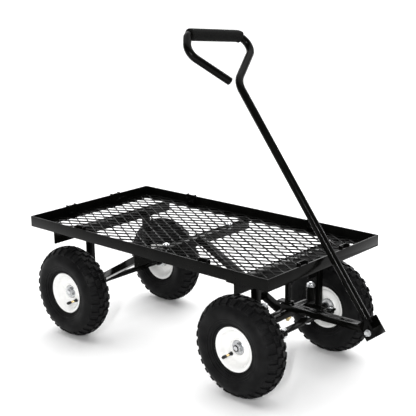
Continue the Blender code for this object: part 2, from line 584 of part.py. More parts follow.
half_w, half_d, inner_w = YOKE_WIDTH / 2, YOKE_DEPTH / 2, YOKE_WIDTH / 2 - YOKE_WALL
yoke = add_object("yoke", handle_box((-YOKE_BELOW, YOKE_ABOVE), (-half_d, half_d), (-half_w, half_w)),
                  "black_paint", at=pivot)
cut(yoke, "yoke_room", handle_box((-0.1, YOKE_ABOVE - YOKE_WALL), (-0.1, half_d - YOKE_WALL), (-inner_w, inner_w)))
cut(yoke, "yoke_window", handle_box((YOKE_WEB - YOKE_BELOW, YOKE_ABOVE - YOKE_WALL), (0, 0.1), (-inner_w, inner_w)))
hole(yoke, "yoke_bolt_hole", pivot, Y, BOLT_RADIUS + SLIP, 0.04)
hole(yoke, "yoke_shaft_hole", on_handle(YOKE_ABOVE), shaft_way, SHAFT_RADIUS + GAP, 0.008)

stations = [(-0.0273, 0.0065, True), (-half_w - GAP, 0.0065, True), (-half_w - GAP, BOLT_RADIUS, False),
            (half_w + GAP, BOLT_RADIUS, False), (half_w + GAP, 0.0065, True), (0.0275, 0.0065, True),
            (0.0275, BOLT_RADIUS, False), (0.031, 0.0035, False)]
add_object("handle_bolt", bolt(pivot, Y, stations), "zinc", at=pivot)

# The loop lies in the plane of the shaft and the Y axis: (left, along) from the first bend, and the bend's radius.
LOOP = (((0, 0), 0.050), ((0.166, 0.120), 0.032), ((-0.085, 0.150), 0.020), ((-0.1185, 0.100), 0.034),
        ((-0.0266, 0.0064), 0))


def bent_route(corners, radii, steps=5):
    """Centres and directions along a bent tube, with an arc at each inner corner."""
    stations = [(corners[0], (corners[1] - corners[0]).normalized())]
    for before, corner, after, radius in zip(corners, corners[1:], corners[2:], radii):
        way_in, way_out = (corner - before).normalized(), (after - corner).normalized()
        turn = way_in.angle(way_out)
        reach = radius * math.tan(turn / 2)
        inward = (way_out - way_in * math.cos(turn)).normalized()
        start = corner - way_in * reach
        for k in range(steps + 1):
            t = turn * k / steps
            point = start + way_in * radius * math.sin(t) + inward * radius * (1 - math.cos(t))
            stations.append((point, way_in * math.cos(t) + inward * math.sin(t)))
    stations.append((corners[-1], (corners[-1] - corners[-2]).normalized()))
    return stations


def tube_rings(stations, radius, steps=12):
    rings = []
    for centre, way in stations:
        side = way.cross(front_way)
        turns = [2 * math.pi * k / steps for k in range(steps)]
        rings.append([centre + (front_way * math.cos(t) + side * math.sin(t)) * radius for t in turns])
    return rings


corners = [on_handle(SHAFT_START)] + [on_handle(HANDLE_LENGTH + v, 0, u) for (u, v), _ in LOOP]
route = bent_route(corners, [radius for _, radius in LOOP])
outer_rings, inner_rings = tube_rings(route, SHAFT_RADIUS), tube_rings(route, SHAFT_RADIUS - SHAFT_WALL)
add_object("handle_tube", loft(outer_rings + inner_rings[::-1], closed=True), "black_paint", at=pivot, smooth=True)

# The grip fills the straight run between the loop's two rounded corners.
run = corners[3] - corners[2]
along = run.normalized()
first_end, last_end = route[12][0], route[13][0]
grip_length = (last_end - first_end).length
outline = [(SHAFT_RADIUS + GAP, 0.001), (GRIP_RADIUS - 0.003, 0.001), (GRIP_RADIUS, 0.004),
           (GRIP_RADIUS, grip_length - 0.004), (GRIP_RADIUS - 0.003, grip_length - 0.001),
           (SHAFT_RADIUS + GAP, grip_length - 0.001)]
add_object("foam_grip", lathe(outline, first_end, along, 16), "foam", at=pivot, smooth=True)

plug_radius = SHAFT_RADIUS - SHAFT_WALL - 0.0008
outline = [(plug_radius, -0.008), (plug_radius, GAP), (SHAFT_RADIUS, GAP), (SHAFT_RADIUS, 0.002),
           (SHAFT_RADIUS - 0.003, 0.0035)]
add_object("tube_end_cap", lathe(outline, corners[-1], route[-1][1], 12, closed=False), "black_plastic", at=pivot)

# ---- Wheels: tyre, two-dish rim, hub, valve and axle nut, told from the tyre's middle plane outward -----------
half_tyre, shoulder = TYRE_WIDTH / 2, WHEEL_RADIUS - 0.015
TYRE = [(0.052, 0.023), (0.060, 0.027), (0.079, half_tyre - 0.003), (0.096, half_tyre), (shoulder, half_tyre - 0.0065),
        (WHEEL_RADIUS - 0.0055, 0.025), (WHEEL_RADIUS, 0.010)]
TYRE_INSIDE = [(0.052, 0.013), (0.084, half_tyre - 0.007), (shoulder - 0.003, half_tyre - 0.013)]
RIM = [(HUB_RADIUS + 0.0004, 0.008), (0.038, 0.0105), (0.0495, 0.0225), (RIM_RADIUS, 0.028), (0.0515, 0.0237)]
RIM_INSIDE = [(HUB_RADIUS + 0.0004, 0.006), (0.0385, 0.008), (0.0495, 0.019)]
HUB = [(AXLE_RADIUS + SLIP, HUB_IN), (0.014, HUB_IN), (HUB_RADIUS, HUB_IN + 0.002), (HUB_RADIUS, HUB_OUT - 0.001),
       (0.0165, HUB_OUT), (AXLE_RADIUS + SLIP, HUB_OUT)]
VALVE = [(0.0055, 0.0015), (0.0055, 0.0045), (0.0035, 0.0045), (0.0035, 0.030), (0.0043, 0.030), (0.0043, 0.042),
         (0.0030, 0.044)]
NUT = [(HUB_OUT + GAP, AXLE_RADIUS + 0.0025), (HUB_OUT + 0.0085, AXLE_RADIUS + 0.0025)]
VALVE_ANGLES = {"front_right": 225, "rear_right": 315, "front_left": 70, "rear_left": 150}


def mirrored(half):
    """A profile from one side's half, run on round the other side."""
    return half + [(r, -d) for r, d in reversed(half)]


def ring_profile(outside, inside):
    """A closed hoop section: outside from one bead or bore round to the other, then back along the inside."""
    return mirrored(outside) + [(r, -d) for r, d in inside] + [(r, d) for r, d in reversed(inside)]


for end, way in (("front", 1), ("rear", -1)):
    for side, sign in SIDES:
        place = f"{end}_{side}"
        centre, outward = Vector((way * AXLE_X, sign * WHEEL_Y, AXLE_Z)), Y * sign
        tyre = lathe(ring_profile(TYRE, TYRE_INSIDE), centre, outward, WHEEL_STEPS)
        add_object("tyre_" + place, tyre, "tyre_rubber", at=centre, smooth=True)
        rim_bm = lathe(ring_profile(RIM, RIM_INSIDE), centre, outward, WHEEL_STEPS)
        rim = add_object("rim_" + place, rim_bm, "white_paint", at=centre, smooth=True)
        add_object("hub_" + place, lathe(HUB, centre, outward, 16), "zinc", at=centre, smooth=True)
        turn = math.radians(VALVE_ANGLES[place])
        seat = centre + (X * math.cos(turn) + Z * math.sin(turn)) * VALVE_CIRCLE
        hole(rim, "valve_hole_" + place, seat + outward * 0.009, Y, 0.0035 + SLIP, 0.006, steps=12)
        add_object("valve_" + place, lathe(VALVE, seat, outward, 10, closed=False), "brass", at=centre)
        nut_rings = [ring(centre + outward * d, outward, r, 12, True) for d, r in NUT]
        bore_rings = [ring(centre + outward * d, outward, AXLE_RADIUS + SLIP, 12) for d, _ in reversed(NUT)]
        nut_home = centre if end == "rear" else Vector((AXLE_X, sign * KINGPIN_Y, 0))
        add_object("axle_nut_" + place, loft(nut_rings + bore_rings, closed=True), "zinc", at=nut_home)
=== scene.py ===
"""Garden cart: the looks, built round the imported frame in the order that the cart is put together."""
import math

import bmesh
import bpy
from mathutils import Matrix, Vector


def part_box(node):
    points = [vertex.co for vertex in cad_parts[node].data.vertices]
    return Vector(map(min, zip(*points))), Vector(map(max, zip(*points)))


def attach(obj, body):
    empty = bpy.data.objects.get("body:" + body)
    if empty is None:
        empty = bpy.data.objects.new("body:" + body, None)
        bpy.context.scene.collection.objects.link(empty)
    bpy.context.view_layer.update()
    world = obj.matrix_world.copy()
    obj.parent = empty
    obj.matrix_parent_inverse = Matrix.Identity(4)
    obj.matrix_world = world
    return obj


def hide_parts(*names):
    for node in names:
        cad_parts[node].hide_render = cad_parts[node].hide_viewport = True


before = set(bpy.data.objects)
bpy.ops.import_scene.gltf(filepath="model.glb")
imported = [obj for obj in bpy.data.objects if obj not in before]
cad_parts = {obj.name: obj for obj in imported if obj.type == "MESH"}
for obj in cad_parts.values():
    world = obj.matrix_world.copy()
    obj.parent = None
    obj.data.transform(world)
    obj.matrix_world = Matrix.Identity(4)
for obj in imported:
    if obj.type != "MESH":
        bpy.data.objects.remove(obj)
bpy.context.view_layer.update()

# ---- Studio --------------------------------------------------------------------------------------
# A plain pale floor under a broad soft light, with a bright surround behind the cart and a dim one in
# front, as in a product studio. The camera stands off the front right corner, a little above the deck, and
# looks down at it.
FLOOR_RADIUS = 60
bpy.context.scene.view_settings.view_transform = "Standard"
bpy.ops.object.select_all(action="DESELECT")
bpy.ops.mesh.primitive_circle_add(vertices=128, radius=FLOOR_RADIUS, fill_type="NGON", location=(0, 0, 0))
floor = bpy.context.active_object
floor.name = "studio_floor"
floor_mat = bpy.data.materials.new("pale floor")
floor_mat.use_nodes = True
floor_shader = floor_mat.node_tree.nodes["Principled BSDF"]
floor_shader.inputs["Base Color"].default_value = (0.93, 0.93, 0.93, 1)
floor_shader.inputs["Roughness"].default_value = 0.9
floor_shader.inputs["Specular IOR Level"].default_value = 0.05
floor.data.materials.append(floor_mat)

BEHIND_THE_CART = (-0.67, 0.74, 0.0)      # as the camera sees it
FRONT_STRENGTH, BACK_STRENGTH = 0.16, 1.25
world = bpy.data.worlds.new("studio surround")
world.use_nodes = True
tree = world.node_tree
background = tree.nodes["Background"]
background.inputs["Color"].default_value = (1, 1, 1, 1)
direction = tree.nodes.new("ShaderNodeTexCoord")
facing = tree.nodes.new("ShaderNodeVectorMath")
facing.operation = "DOT_PRODUCT"
facing.inputs[1].default_value = BEHIND_THE_CART
spread = tree.nodes.new("ShaderNodeMapRange")
spread.inputs["From Min"].default_value = -0.1
spread.inputs["From Max"].default_value = 0.75
spread.inputs["To Min"].default_value = FRONT_STRENGTH
spread.inputs["To Max"].default_value = BACK_STRENGTH
tree.links.new(direction.outputs["Generated"], facing.inputs[0])
tree.links.new(facing.outputs["Value"], spread.inputs["Value"])
tree.links.new(spread.outputs["Result"], background.inputs["Strength"])
bpy.context.scene.world = world

key = bpy.data.lights.new("overhead silk", "SUN")
key.energy = 2.9
key.angle = math.radians(90)
key_lamp = bpy.data.objects.new("overhead silk", key)
key_lamp.rotation_euler = (math.radians(-16), math.radians(-12), 0)
bpy.context.scene.collection.objects.link(key_lamp)


def strip_light(name, place, aim, wide, tall, power):
    light = bpy.data.lights.new(name, "AREA")
    light.shape = "RECTANGLE"
    light.size, light.size_y = wide, tall
    light.energy = power
    lamp = bpy.data.objects.new(name, light)
    bpy.context.scene.collection.objects.link(lamp)
    lamp.location = place
    lamp.rotation_euler = (Vector(aim) - Vector(place)).to_track_quat("-Z", "Y").to_euler()


strip_light("front strip", (2.3, -3.1, 2.0), (0.42, 0, 0.3), wide=0.10, tall=1.1, power=100)
strip_light("far strip", (-1.2, 2.8, 1.6), (0, 0, 0.4), wide=2.4, tall=0.8, power=24)

CAMERA_PLACE = (1.67249, -1.8638, 1.0763)
CAMERA_YAW, CAMERA_PITCH, CAMERA_ROLL = 42.447, 15.145, -1.028
CAMERA_LENS = 84.83
camera_data = bpy.data.cameras.new("camera")
camera_data.sensor_width = 36
camera_data.lens = CAMERA_LENS
camera_data.clip_end = 300
camera = bpy.data.objects.new("camera", camera_data)
bpy.context.scene.collection.objects.link(camera)
yaw, pitch, roll = (math.radians(a) for a in (CAMERA_YAW, CAMERA_PITCH, CAMERA_ROLL))
aim = Matrix.Rotation(yaw, 4, "Z") @ Matrix.Rotation(math.pi / 2 - pitch, 4, "X")
camera.matrix_world = Matrix.Translation(CAMERA_PLACE) @ aim @ Matrix.Rotation(roll, 4, "Z")
bpy.context.scene.camera = camera


# ---- Deck frame ----------------------------------------------------------------------------------
# Four lengths of steel angle, welded at the corners with their legs up and in. Everything black on the cart
# has the same gloss powder coat, which lies in a faint orange peel and rounds every edge a little.
def node_material(name, colour, roughness, metallic=0.0, **sockets):
    mat = bpy.data.materials.new(name)
    mat.use_nodes = True
    shader = mat.node_tree.nodes["Principled BSDF"]
    shader.inputs["Base Color"].default_value = (*colour, 1)
    shader.inputs["Roughness"].default_value = roughness
    shader.inputs["Metallic"].default_value = metallic
    for socket, value in sockets.items():
        shader.inputs[socket.replace("_", " ")].default_value = value
    return mat


def add_noise(mat, scale, detail=3.0):
    """A noise texture on the piece's own coordinates."""
    tree = mat.node_tree
    coordinates = tree.nodes.new("ShaderNodeTexCoord")
    noise = tree.nodes.new("ShaderNodeTexNoise")
    noise.inputs["Scale"].default_value = scale
    noise.inputs["Detail"].default_value = detail
    tree.links.new(coordinates.outputs["Object"], noise.inputs["Vector"])
    return noise.outputs["Fac"]


def add_bump(mat, height, strength, distance):
    tree = mat.node_tree
    bump = tree.nodes.new("ShaderNodeBump")
    bump.inputs["Strength"].default_value = strength
    bump.inputs["Distance"].default_value = distance
    tree.links.new(height, bump.inputs["Height"])
    tree.links.new(bump.outputs["Normal"], tree.nodes["Principled BSDF"].inputs["Normal"])


def add_ramp(mat, value, socket, low, high):
    """Spreads a value between two colours, or between two numbers as greys, into a socket."""
    tree = mat.node_tree
    ramp = tree.nodes.new("ShaderNodeValToRGB")
    ramp.color_ramp.elements[0].position = 0.35
    ramp.color_ramp.elements[1].position = 0.65
    for element, end_value in zip(ramp.color_ramp.elements, (low, high)):
        element.color = (*end_value, 1) if isinstance(end_value, tuple) else (end_value,) * 3 + (1,)
    tree.links.new(value, ramp.inputs["Fac"])
    tree.links.new(ramp.outputs["Color"], tree.nodes["Principled BSDF"].inputs[socket])


def black_powder_coat():
    mat = node_material("black powder coat", (0.0022, 0.0022, 0.0020), 0.16, Specular_IOR_Level=0.06)
    add_ramp(mat, add_noise(mat, 22), "Base Color", (0.0016, 0.0016, 0.0014), (0.0032, 0.0032, 0.0028))
    add_ramp(mat, add_noise(mat, 45), "Roughness", 0.13, 0.20)
    add_bump(mat, add_noise(mat, 420, 1.0), 0.02, 0.0005)
    return mat


BLACK_PAINT = black_powder_coat()


def only(piece):
    """Makes a piece the one selected and active object."""
    bpy.ops.object.select_all(action="DESELECT")
    piece.select_set(True)
    bpy.context.view_layer.objects.active = piece


def round_edges(piece, width, segments=2, limit=30):
    """Rounds every edge that turns by more than the limit, in degrees, and shades the piece to suit."""
    only(piece)
    bevel = piece.modifiers.new("rounded edges", "BEVEL")
    bevel.width, bevel.segments = width, segments
    bevel.limit_method = "ANGLE"
    bevel.angle_limit = math.radians(limit)
    bpy.ops.object.modifier_apply(modifier=bevel.name)
    bpy.ops.object.shade_smooth_by_angle(angle=math.radians(35))


def fit_out(piece, body, slot, finish, *nodes):
    """Gives a piece its finish, the body it moves with and the nodes it stands for."""
    piece.data.materials.clear()
    piece.data.materials.append(finish)
    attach(piece, body)
    if nodes:
        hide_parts(*nodes)
    return piece


def merged_copy(node, name):
    """A copy of a node's shape with its loose triangles merged into whole flat faces."""
    mesh = bpy.data.meshes.new(name)
    bm = bmesh.new()
    bm.from_mesh(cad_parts[node].data)
    bmesh.ops.remove_doubles(bm, verts=bm.verts, dist=0.00002)
    flat = math.radians(0.5)
    bmesh.ops.dissolve_limit(bm, angle_limit=flat, verts=bm.verts, edges=bm.edges, delimit={"NORMAL"})
    bm.to_mesh(mesh)
    bm.free()
    piece = bpy.data.objects.new(name, mesh)
    bpy.context.scene.collection.objects.link(piece)
    return piece


def rounded_copy(node, body, edge, finish=BLACK_PAINT, slot="black_paint", segments=2):
    piece = merged_copy(node, node + "_steel")
    round_edges(piece, edge, segments)
    return fit_out(piece, body, slot, finish, node)


RAIL_EDGE = 0.0007
for rail in ("side_rail_left", "side_rail_right", "end_rail_front", "end_rail_rear"):
    rounded_copy(rail, "chassis", RAIL_EDGE)

# ---- Expanded metal ------------------------------------------------------------------------------
# One sheet of slit and stretched steel on the rails' flat legs. Stretching tips every strand and bond the
# same way, so the sheet is not flat: one edge of each strand stands higher than the other.
SHEET_CELLS = (34, 30)          # half diamonds along and across
SHEET_TIP = 0.0008
SHEET_THINNING = -0.0003        # the strands pull thin as the sheet is stretched
sheet = merged_copy("mesh_panel", "expanded_metal")
sheet_low, sheet_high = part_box("mesh_panel")
for vertex in sheet.data.vertices:
    across = (vertex.co.y - sheet_low.y) / (sheet_high.y - sheet_low.y) * SHEET_CELLS[1]
    along = (vertex.co.x - sheet_low.x) / (sheet_high.x - sheet_low.x) * SHEET_CELLS[0]
    from_bond = across - round(across)
    beside_bond = 0.02 < abs(from_bond) < 0.2 and abs(along - round(along)) < 0.02
    if beside_bond and 0.5 < across < SHEET_CELLS[1] - 0.5:
        vertex.co.z += math.copysign(SHEET_TIP, from_bond)
only(sheet)
bpy.ops.object.mode_set(mode="EDIT")
bpy.ops.mesh.select_all(action="SELECT")
bpy.ops.transform.shrink_fatten(value=SHEET_THINNING)
bpy.ops.object.mode_set(mode="OBJECT")
round_edges(sheet, 0.0003, 1, 40)
fit_out(sheet, "chassis", "black_paint", BLACK_PAINT, "mesh_panel")

# ---- Stake pockets, crossbars, legs and struts ---------------------------------------------------
# Bent strap, rolled angle and square tube, cut and welded. Each keeps the sharp look of cut stock with just
# the mill's small radius and the paint's on its edges.
STOCK_EDGE = 0.0008
for side in ("left", "right"):
    for end in ("front", "rear"):
        rounded_copy(f"side_pocket_{end}_{side}", "chassis", STOCK_EDGE)
        rounded_copy(f"end_pocket_{end}_{side}", "chassis", STOCK_EDGE)
        rounded_copy(f"{end}_leg_{side}", "chassis", STOCK_EDGE)
    rounded_copy("side_strut_" + side, "chassis", STOCK_EDGE)
for bar in ("rear", "middle", "front"):
    rounded_copy("crossbar_" + bar, "chassis", STOCK_EDGE)
for part in ("centre_strut", "centre_post", "front_axle_frame"):
    rounded_copy(part, "chassis", STOCK_EDGE)


# ---- Weld beads ----------------------------------------------------------------------------------
# Short hand-laid fillets under the paint where the frame's pieces meet: overlapping flat ripples, one after
# the other, along each joint.
RIPPLE_STEP = 0.0026
RIPPLE_RADIUS = 0.0021
RIPPLE_FLATNESS = 0.85


def bead_line(start, end):
    """Places of the ripples along a joint."""
    start, end = Vector(start), Vector(end)
    count = max(2, round((end - start).length / RIPPLE_STEP))
    way = (end - start).normalized()
    return [(start.lerp(end, (k + 0.5) / count), way) for k in range(count)]


def lay_beads(name, places):
    """One mesh of ripples, copied from one small flattened ball."""
    bpy.ops.object.select_all(action="DESELECT")
    bpy.ops.mesh.primitive_ico_sphere_add(subdivisions=2, radius=RIPPLE_RADIUS, location=(0, 0, 0))
    ripple = bpy.context.active_object
    bpy.ops.object.mode_set(mode="EDIT")
    bpy.ops.mesh.select_all(action="SELECT")
    bpy.ops.transform.resize(value=(RIPPLE_FLATNESS, 1.0, 1.0))
    bpy.ops.object.mode_set(mode="OBJECT")
    bm = bmesh.new()
    for place, way in places:
        turn = way.to_track_quat("X", "Z").to_matrix().to_4x4()
        before = len(bm.verts)
        bm.from_mesh(ripple.data)
        bm.verts.ensure_lookup_table()
        bmesh.ops.transform(bm, matrix=Matrix.Translation(place) @ turn, verts=bm.verts[before:])
    mesh = bpy.data.meshes.new(name)
    bm.to_mesh(mesh)
    bm.free()
    bpy.data.objects.remove(ripple, do_unlink=True)
    beads = bpy.data.objects.new(name, mesh)
    bpy.context.scene.collection.objects.link(beads)
    only(beads)
    bpy.ops.object.shade_smooth()
    return fit_out(beads, "chassis", "black_paint", BLACK_PAINT)


def around(low, high, z, inset=0.003):
    """Beads round the four sides of an upright piece at one height."""
    a, b, c, d = low.x, low.y, high.x, high.y
    runs = (((a, b + inset), (a, d - inset)), ((c, b + inset), (c, d - inset)),
            ((a + inset, b), (c - inset, b)), ((a + inset, d), (c - inset, d)))
    return [spot for p, q in runs for spot in bead_line((*p, z), (*q, z))]


LEG_TUBE = 0.018
BEAD_SINK = 0.0008              # how far a pocket's beads lie inside its outer wall
BEAD_DROP = 0.0006              # how far below an upright's top its beads lie
POCKET_LOW, POCKET_HIGH = 0.004, 0.007
beads = []
for side, sign in (("left", 1), ("right", -1)):
    for leg in ("rear_leg_" + side, "front_leg_" + side):
        low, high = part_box(leg)
        if leg.startswith("front"):
            low, high = Vector(low), Vector(high)
            outer = sign * (high.y if sign > 0 else low.y)
            low.y, high.y = sorted((sign * outer, sign * (outer - LEG_TUBE)))
            middle_x = (low.x + high.x) / 2
            low.x, high.x = middle_x - LEG_TUBE / 2, middle_x + LEG_TUBE / 2
        beads += around(low, high, high.z - BEAD_DROP)
    for end, way in (("front", 1), ("rear", -1)):
        low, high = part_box(f"side_pocket_{end}_{side}")
        wall = (high.y if sign > 0 else low.y) - sign * BEAD_SINK
        for x in (low.x, high.x):
            beads += bead_line((x, wall, low.z + POCKET_LOW), (x, wall, high.z - POCKET_HIGH))
        low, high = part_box(f"end_pocket_{end}_{side}")
        wall = (high.x if way > 0 else low.x) - way * BEAD_SINK
        for y in (low.y, high.y):
            beads += bead_line((wall, y, low.z + POCKET_LOW), (wall, y, high.z - POCKET_HIGH))
        rail_low, rail_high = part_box("end_rail_" + end)
        corner_x = (rail_high.x if way > 0 else rail_low.x) - way * 0.0036
        corner_y = sign * (rail_high.y + 0.0002) - sign * 0.001
        corner = (corner_x, corner_y)
        beads += bead_line((*corner, rail_low.z + 0.006), (*corner, rail_high.z - 0.002))
post_low, post_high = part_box("centre_post")
bolt_low, bolt_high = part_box("steering_bolt")
bar_x = (bolt_low.x + bolt_high.x) / 2
POST_HALF = 0.0055
post_box = (Vector((bar_x - POST_HALF, -POST_HALF, 0)), Vector((bar_x + POST_HALF, POST_HALF, 0)))
beads += around(*post_box, post_high.z - BEAD_DROP, 0.001)
beads += around(*post_box, post_low.z + 0.0054, 0.001)
lay_beads("weld_beads", beads)


# ---- Crossbar bolts ------------------------------------------------------------------------------
# Two zinc-plated bolts hold the sheet down on the middle crossbar: a domed head on a washer, with its nut
# below.
def plated_metal(name, colour, roughness):
    mat = node_material(name, colour, roughness, 1.0)
    add_ramp(mat, add_noise(mat, 160), "Roughness", roughness - 0.06, roughness + 0.14)
    add_bump(mat, add_noise(mat, 700, 1.0), 0.08, 0.0003)
    return mat


ZINC = plated_metal("bright zinc", (0.60, 0.61, 0.62), 0.30)


def turned(name, profile, centre, steps=48, axis="Y"):
    """A round piece spun from a profile of (radius, distance along the axis) corners."""
    centre = Vector(centre)

    def corner(radius, distance):
        return centre + (Vector((radius, distance, 0)) if axis == "Y" else Vector((radius, 0, distance)))

    bpy.ops.object.select_all(action="DESELECT")
    bpy.ops.mesh.primitive_plane_add(size=0.001, location=corner(*profile[0]))
    piece = bpy.context.active_object
    piece.name = name
    bpy.ops.object.transform_apply(location=True, rotation=True, scale=True)
    bpy.ops.object.mode_set(mode="EDIT")
    bpy.ops.mesh.select_mode(type="VERT")
    bpy.ops.mesh.select_all(action="SELECT")
    bpy.ops.mesh.merge(type="CENTER")
    for before, after in zip(profile, profile[1:]):
        step = corner(*after) - corner(*before)
        bpy.ops.mesh.extrude_vertices_move(TRANSFORM_OT_translate={"value": step})
    bpy.ops.mesh.select_all(action="SELECT")
    bpy.ops.mesh.spin(steps=steps, angle=2 * math.pi, center=centre,
                      axis=(0, 1, 0) if axis == "Y" else (0, 0, 1))
    bpy.ops.mesh.select_all(action="SELECT")
    bpy.ops.mesh.remove_doubles(threshold=0.00001)
    bpy.ops.mesh.normals_make_consistent(inside=False)
    bpy.ops.object.mode_set(mode="OBJECT")
    bpy.ops.object.shade_smooth_by_angle(angle=math.radians(28))
    return piece


def hexagon(name, centre, axis, flats, height, chamfer=0.0007, recess=0.0):
    """A bevelled hexagonal head or nut; a recess is the radius of a shallow hollow in both end faces."""
    turn = {"Y": (-math.pi / 2, 0, 0), "Z": (0, 0, 0)}[axis]
    bpy.ops.object.select_all(action="DESELECT")
    bpy.ops.mesh.primitive_cylinder_add(vertices=6, radius=flats / math.sqrt(3), depth=height,
                                        location=centre, rotation=turn)
    piece = bpy.context.active_object
    piece.name = name
    bpy.ops.object.transform_apply(location=True, rotation=True, scale=True)
    if recess:
        out = Vector((0, axis == "Y", axis == "Z"))
        for way in (1, -1):
            bpy.ops.object.mode_set(mode="EDIT")
            bpy.ops.mesh.select_mode(type="FACE")
            bpy.ops.mesh.select_all(action="DESELECT")
            bpy.ops.object.mode_set(mode="OBJECT")
            for face in piece.data.polygons:
                face.select = face.normal.dot(out) * way > 0.9
            bpy.ops.object.mode_set(mode="EDIT")
            bpy.ops.mesh.inset(thickness=flats * 0.5 - recess, depth=0)
            bpy.ops.mesh.inset(thickness=0.0004, depth=-0.0008)
        bpy.ops.object.mode_set(mode="OBJECT")
    round_edges(piece, chamfer, 2, 25)
    return piece


def joined(name, *parts):
    """Several shapes made one piece."""
    only(parts[0])
    for part in parts:
        part.select_set(True)
    bpy.ops.object.join()
    parts[0].name = name
    return parts[0]


bar_low, bar_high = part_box("crossbar_middle")
BOLT_SPACING = 0.126            # from the middle of the cart
BOLT_INSET = 0.016              # from the crossbar's rear edge
DOME_AND_WASHER = [(0, 0.0046), (0.0030, 0.0042), (0.0052, 0.0030), (0.0062, 0.0010), (0.0062, 0.0008),
                   (0.0090, 0.0008), (0.0092, 0.0004), (0.0092, -0.0004), (0, -0.0004)]
SHANK = [(0, -0.018), (0.0026, -0.018), (0.0030, -0.0175), (0.0030, 0), (0, 0)]
for side, sign in (("left", 1), ("right", -1)):
    spot = Vector((bar_low.x + BOLT_INSET, sign * BOLT_SPACING, sheet_high.z))
    dome = turned("dome", DOME_AND_WASHER, spot, 24, "Z")
    shank = turned("shank", SHANK, spot, 16, "Z")
    nut = hexagon("nut", (spot.x, spot.y, bar_high.z - 0.0062), "Z", flats=0.010, height=0.005)
    fit_out(joined("crossbar_bolt_" + side, dome, shank, nut), "chassis", "zinc", ZINC)

# ---- Rear axle -----------------------------------------------------------------------------------
# One round steel rod right across under the legs, painted black, with a pressed collar inside each wheel.
# Its threaded ends lie under the nuts and the zinc tips that come with the wheels.
axle_low, axle_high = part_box("rear_axle")
axle_mid = (axle_low + axle_high) / 2
AXLE_RADIUS, COLLAR_RADIUS = 0.0079, 0.012
HUB_FACE = 0.1597               # where the collar meets the hub, from the middle of the cart
THREAD_START = 0.184
COLLAR_WIDTH = 0.010
half_axle = axle_high.y
rod_half = [(0.0, half_axle), (0.0058, half_axle), (0.0070, half_axle - 0.0012)]
for k in range(8):
    y = half_axle - 0.0018 - k * 0.0012
    rod_half += [(AXLE_RADIUS, y), (0.0072, y - 0.0006)]
rod_half += [(AXLE_RADIUS, THREAD_START), (AXLE_RADIUS, HUB_FACE), (COLLAR_RADIUS - 0.0006, HUB_FACE),
             (COLLAR_RADIUS, HUB_FACE - 0.0006), (COLLAR_RADIUS, HUB_FACE - 0.0094),
             (COLLAR_RADIUS - 0.0006, HUB_FACE - COLLAR_WIDTH), (AXLE_RADIUS, HUB_FACE - COLLAR_WIDTH)]
rod = rod_half + [(r, -y) for r, y in reversed(rod_half)]
fit_out(turned("rear_axle_rod", rod, axle_mid, 32), "chassis", "black_paint", BLACK_PAINT, "rear_axle")

# ---- Knuckles and tie rods -----------------------------------------------------------------------
# Forged and welded steel under the same black coat: the kingpin stands up through its barrel and is held by
# a zinc nut on top, the arm reaches forward and the stub axle out to the wheel.
KINGPIN_Y = 0.098
NUT_AND_END = 0.0121            # nut and pin end together, above the knuckle's barrel
PIN_END = [(0, 0.0118), (0.0042, 0.0118), (0.0055, 0.0108), (0.0057, 0.0078), (0.0, 0.0078)]
PIN_WASHER = [(0.0, 0.0012), (0.0110, 0.0012), (0.0114, 0.0008), (0.0114, 0.0002), (0.0, 0.0002)]
for side, sign in (("left", 1), ("right", -1)):
    knuckle = merged_copy("knuckle_" + side, "knuckle_steel_" + side)
    low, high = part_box("knuckle_" + side)
    nut_seat = high.z - NUT_AND_END
    only(knuckle)
    bpy.ops.object.mode_set(mode="EDIT")
    bpy.ops.mesh.select_all(action="SELECT")
    bpy.ops.mesh.bisect(plane_co=(0, 0, nut_seat), plane_no=(0, 0, 1), use_fill=True, clear_outer=True)
    bpy.ops.object.mode_set(mode="OBJECT")
    round_edges(knuckle, 0.0010)
    fit_out(knuckle, "knuckle_" + side, "black_paint", BLACK_PAINT, "knuckle_" + side)
    pin_y = sign * KINGPIN_Y
    pin_end = turned("pin_end", PIN_END, (bar_x, pin_y, nut_seat), 24, "Z")
    washer = turned("washer", PIN_WASHER, (bar_x, pin_y, nut_seat), 32, "Z")
    hex_middle = (bar_x, pin_y, nut_seat + 0.0046)
    body = hexagon("hex", hex_middle, "Z", flats=0.0190, height=0.0066, chamfer=0.0010, recess=0.0062)
    fit_out(joined("kingpin_nut_" + side, pin_end, washer, body), "knuckle_" + side, "zinc", ZINC)
    rounded_copy("tie_rod_" + side, "tie_rod_" + side, STOCK_EDGE)
    rounded_copy("tie_rod_bolt_" + side, "knuckle_" + side, 0.0004, ZINC, "zinc", 1)

# ---- Tongue, its bolts and the yoke --------------------------------------------------------------
# Rectangular tube, drilled for the steering bolt, the tie bolt, a spare hole and the handle's cross bolt.
# The yoke is a bent and welded steel shoe round the tongue's tip. The steering bolt is yellow zinc, the
# rest bright.
YELLOW_ZINC = plated_metal("yellow zinc", (0.62, 0.50, 0.26), 0.30)
rounded_copy("tongue", "tongue", 0.0012)
rounded_copy("yoke", "handle", 0.0012)
rounded_copy("steering_bolt", "chassis", 0.0005, YELLOW_ZINC, "yellow_zinc", 1)
rounded_copy("tie_bolt", "tongue", 0.0004, ZINC, "zinc", 1)
low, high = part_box("handle_bolt")
PIVOT = Vector(((low.x + high.x) / 2, 0, (low.z + high.z) / 2))
YOKE_HALF = 0.0213
CROSS_WASHER = [(0.0042, 0), (0.0082, 0), (0.0086, 0.0004), (0.0086, 0.0010), (0.0042, 0.0014), (0.0042, 0)]
CROSS_SHANK = [(0, -0.0285), (0.0030, -0.0285), (0.0038, -0.0275), (0.0038, 0.0300), (0.0028, 0.0310),
               (0, 0.0310)]
parts = [turned("shank", CROSS_SHANK, PIVOT, 24)]
